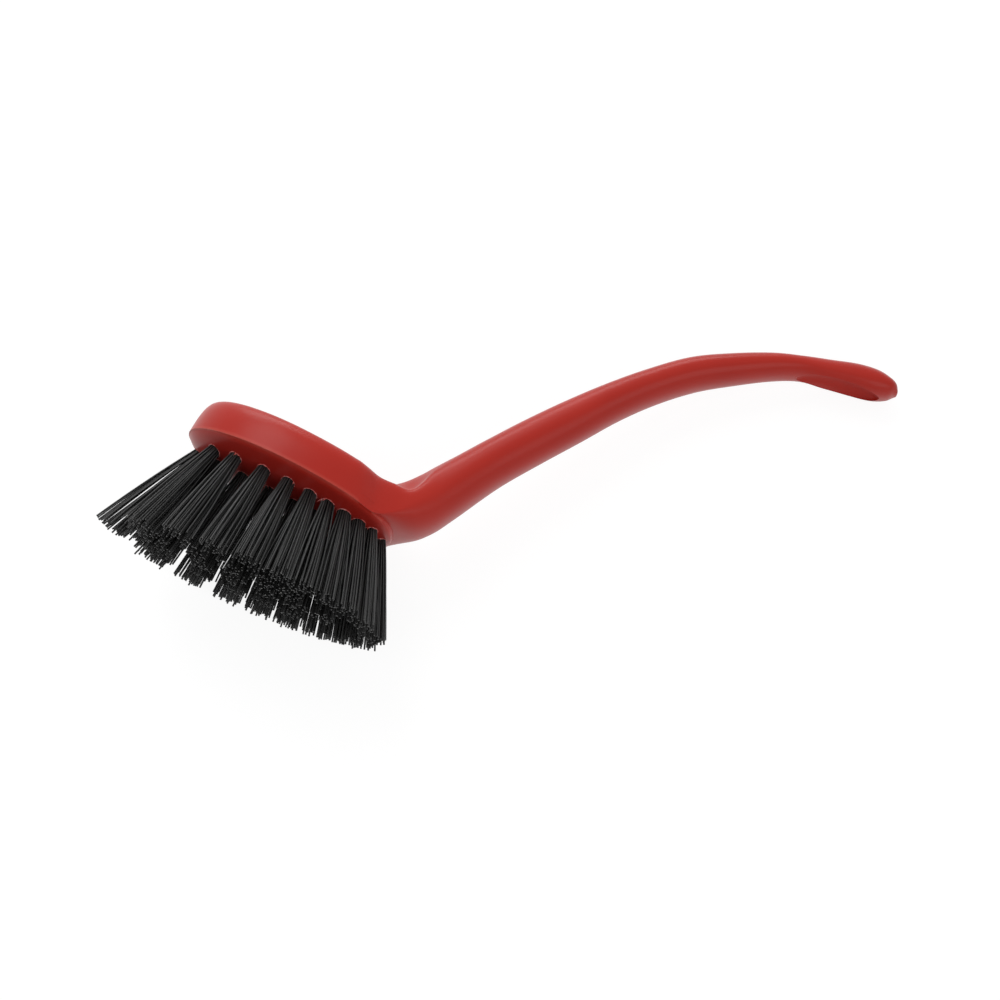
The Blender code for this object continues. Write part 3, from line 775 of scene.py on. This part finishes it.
filaments = {
    "diameter": 0.00062, "sides": 6, "steps": 7,
    "rootSpacing": 0.00065, "rootRows": 6, "disorder": 0.12,
    "sunk": 0.0024, "bulge": 0.00040, "bulgeRun": 0.003,
    "fan": 0.094, "frontFan": 0.112, "early": 0.45, "bow": 0.0175,
    "stray": 0.013, "strayShare": 0.035, "strayTimes": 4.0,
    "lengthSpread": 0.00075, "shortShare": 0.10, "shortBy": (0.0005, 0.0022),
    "boxMargin": 0.55, "tonePower": 3, "sharpAngle": 75.0,
}


def rootPlaces():
    # Hexagonal packing inside the hole, with a little disorder
    spacing, rows = filaments["rootSpacing"], filaments["rootRows"]
    reach = tufts["holeDiameter"] / 2 - filaments["diameter"] / 2
    wobble = spacing * filaments["disorder"]
    places = []
    for row in range(-rows, rows + 1):
        for column in range(-rows, rows + 1):
            x = (column + 0.5 * (row % 2)) * spacing
            y = row * spacing * math.sqrt(3) / 2
            if math.hypot(x, y) <= reach:
                places.append((x + dice.uniform(-wobble, wobble), y + dice.uniform(-wobble, wobble)))
    return places


def trimReach(placeIt, run):
    # How far along run, from the mouth of the hole, the trimmed plane lies
    slope = math.tan(math.radians(tufts["trimSlope"]))
    mouth = placeIt.translation
    away = placeIt.to_3x3() @ run
    toPlane = slope * (mouth.x - tufts["upright"] * body["headLength"]) - tufts["trimDepth"] - mouth.z
    return toPlane / (away.z - slope * away.x)


def heldIn(points):
    # Bends a filament, more towards its tip, so that it stays on the table and in the brush's box
    low, high = cadBox
    margin = filaments["diameter"] * filaments["boxMargin"]
    tips = [toTable @ p for p in points]
    for axis in range(3):
        over = tips[-1][axis] - (high[axis] - margin)
        under = (low[axis] + margin) - tips[-1][axis]
        push = under if under > 0 else -over if over > 0 else 0.0
        if push:
            for i, point in enumerate(tips):
                point[axis] += push * (i / (len(tips) - 1)) ** 2
    back = toTable.inverted()
    return [back @ p for p in tips]


def filamentPath(placeIt, root, fan):
    x, y = root
    reach = tufts["holeDiameter"] / 2
    stray = filaments["stray"]
    if dice.random() < filaments["strayShare"]:
        stray *= filaments["strayTimes"]
    lean = Vector((
        fan * x / reach + dice.gauss(0, stray),
        fan * y / reach + dice.gauss(0, stray), 0.0,
    ))
    bow = Vector((dice.gauss(0, filaments["bow"]), dice.gauss(0, filaments["bow"]), 0.0))
    length = trimReach(placeIt, lean + Vector((0.0, 0.0, 1.0)))
    length += dice.uniform(-1, 1) * filaments["lengthSpread"]
    if dice.random() < filaments["shortShare"]:
        length -= dice.uniform(*filaments["shortBy"])
    points = []
    for i in range(filaments["steps"] + 1):
        s = -filaments["sunk"] + (length + filaments["sunk"]) * i / filaments["steps"]
        out = max(0.0, s)
        spread = 1 + filaments["early"] * (1 - out / length)
        side = lean * out * spread + bow * (out * (out - length) / length)
        side += Vector((x, y, 0.0)) / reach * filaments["bulge"] * min(1.0, out / filaments["bulgeRun"])
        points.append(placeIt @ (Vector((x, y, s)) + side))
    return heldIn(points)


def addFilament(bm, tone, points, value):
    # One ring extruded along the path, with its cut end in the second material
    turn, radius = dice.uniform(0, math.tau), filaments["diameter"] / 2
    ring = bmesh.ops.create_circle(bm, segments=filaments["sides"], radius=radius)["verts"]
    shape = [Matrix.Rotation(turn, 3, "Z") @ v.co for v in ring]
    for i, point in enumerate(points):
        run = (points[min(i + 1, len(points) - 1)] - points[max(i - 1, 0)]).normalized()
        square = run.to_track_quat("Z", "Y").to_matrix()
        if i:
            ring = nextRing(bm, ring)
        for vert, offset in zip(ring, shape):
            vert.co = point + square @ offset
            vert[tone] = value
    face = bm.faces.new(ring)
    face.material_index = 1


def makeTuft(name, x, y):
    placeIt = tuftFrame(x, y)
    frontness = max(0.0, 1 - x / (tufts["upright"] * body["headLength"]))
    fan = filaments["fan"] + (filaments["frontFan"] - filaments["fan"]) * frontness
    bm = bmesh.new()
    tone = bm.verts.layers.float.new("strandTone")
    for root in rootPlaces():
        addFilament(bm, tone, filamentPath(placeIt, root, fan), dice.random() ** filaments["tonePower"])
    bmesh.ops.recalc_face_normals(bm, faces=bm.faces)
    item = helper(bm, f"filaments_{name}", filamentMaterial)
    item.data.materials.append(cutEndMaterial)
    item.data.shade_smooth()
    item.data.set_sharp_from_angle(angle=math.radians(filaments["sharpAngle"]))
    nodes = [] if name.startswith("middle") else [f"tuft_{name}"]
    lay(item, *nodes, slot="bristle")
    return len(item.data.polygons)


faces = sum(makeTuft(*place) for place in tuftPlaces())
print("tufts", len(tuftPlaces()), "with", faces, "faces")

for name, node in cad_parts.items():
    if name.startswith("anchor"):
        for slotOfMesh in node.material_slots:
            slotOfMesh.material = steelMaterial


# Table, lamps and camera

studio = {
    "table": 0.90, "glow": 0.80, "white": 1.10, "world": 0.50, "sky": 1.0,
    "tableSize": 6.0, "tableDrop": 0.0002,
    "key": {"at": (-0.30, 0.72, 0.86), "size": 0.6, "power": 3.9},
    "fill": {"at": (0.5, -0.7, 0.8), "size": 0.9, "power": 3.0},
    "edge": {"at": (-0.10, 1.10, 0.15), "size": 0.7, "power": 6.8},
}


def seenDirectly(start):
    # 1 for what the camera, a reflection or clear material sees, and 0 for soft light
    outputs = start.node("LightPath").socket.node.outputs
    camera, glossy, clear = (
        Wire(start.tree, outputs[f"Is {kind} Ray"]) for kind in ("Camera", "Glossy", "Transmission")
    )
    return (camera + glossy + clear).clamped()


def makeTable():
    bm = bmesh.new()
    down = Matrix.Translation((0.0, 0.0, -studio["tableDrop"]))
    bmesh.ops.create_grid(bm, x_segments=1, y_segments=1, size=studio["tableSize"], matrix=down)
    item = helper(bm, "table_top")
    material = bpy.data.materials.new("pale_table")
    material.use_nodes = True
    tree = material.node_tree
    start = Wire(tree)
    level = studio["table"]
    plain = start.node("BsdfDiffuse", None, {"Color": (level, level, level, 1.0)})
    glow = start.node("Emission", None, {"Color": (1.0, 1.0, 1.0, 1.0), "Strength": studio["white"]})
    mixed = start.node("MixShader", None, {0: seenDirectly(start) * studio["glow"], 1: plain, 2: glow})
    tree.links.new(mixed.socket, tree.nodes["Material Output"].inputs["Surface"])
    item.data.materials.append(material)


def makeWorld():
    world = bpy.data.worlds.new("studio")
    world.use_nodes = True
    tree = world.node_tree
    start = Wire(tree)
    lit, seen = (
        start.node("Background", None, {"Color": (1.0, 1.0, 1.0, 1.0), "Strength": studio[key]})
        for key in ("world", "sky")
    )
    mixed = start.node("MixShader", None, {0: seenDirectly(start), 1: lit, 2: seen})
    tree.links.new(mixed.socket, tree.nodes["World Output"].inputs["Surface"])
    bpy.context.scene.world = world


def makeLamp(name, at, size, power):
    lamp = bpy.data.lights.new(name, "AREA")
    lamp.shape, lamp.size, lamp.energy = "SQUARE", size, power
    item = bpy.data.objects.new(name, lamp)
    item.location = at
    item.rotation_euler = (Vector((0.0, 0.0, 0.0)) - Vector(at)).to_track_quat("-Z", "Y").to_euler()
    bpy.context.scene.collection.objects.link(item)


# The camera is turned and rolled as in the photograph. Its focal length and where the scene's origin
# falls are in pixels of the picture.
camera = {
    "azimuth": 12.984, "elevation": 75.125, "roll": -14.203, "distance": 1.0,
    "focal": 2949.319, "origin": (506.240, 513.305), "picture": 1000, "sensor": 36.0, "clip": (0.05, 50.0),
}


def makeCamera():
    a, e, r = (math.radians(camera[key]) for key in ("azimuth", "elevation", "roll"))
    back = Vector((math.sin(a) * math.cos(e), -math.cos(a) * math.cos(e), math.sin(e)))
    right = Vector((math.cos(a), math.sin(a), 0.0))
    up = back.cross(right)
    across = right * math.cos(r) + up * math.sin(r)
    upright = up * math.cos(r) - right * math.sin(r)
    u, v = camera["origin"]
    size = camera["distance"] / camera["focal"]
    data = bpy.data.cameras.new("camera")
    data.sensor_width = camera["sensor"]
    data.lens = camera["focal"] / camera["picture"] * camera["sensor"]
    data.clip_start, data.clip_end = camera["clip"]
    item = bpy.data.objects.new("camera", data)
    middle = camera["picture"] / 2
    place = back * camera["distance"] - across * (u - middle) * size + upright * (v - middle) * size
    item.matrix_world = Matrix.Translation(place) @ Matrix((across, upright, back)).transposed().to_4x4()
    bpy.context.scene.collection.objects.link(item)
    bpy.context.scene.camera = item


makeTable()
makeWorld()
makeLamp("key", **studio["key"])
makeLamp("fill", **studio["fill"])
makeLamp("edge", **studio["edge"])
makeCamera()
bpy.context.scene.view_settings.view_transform = "Standard"
print("studio set")
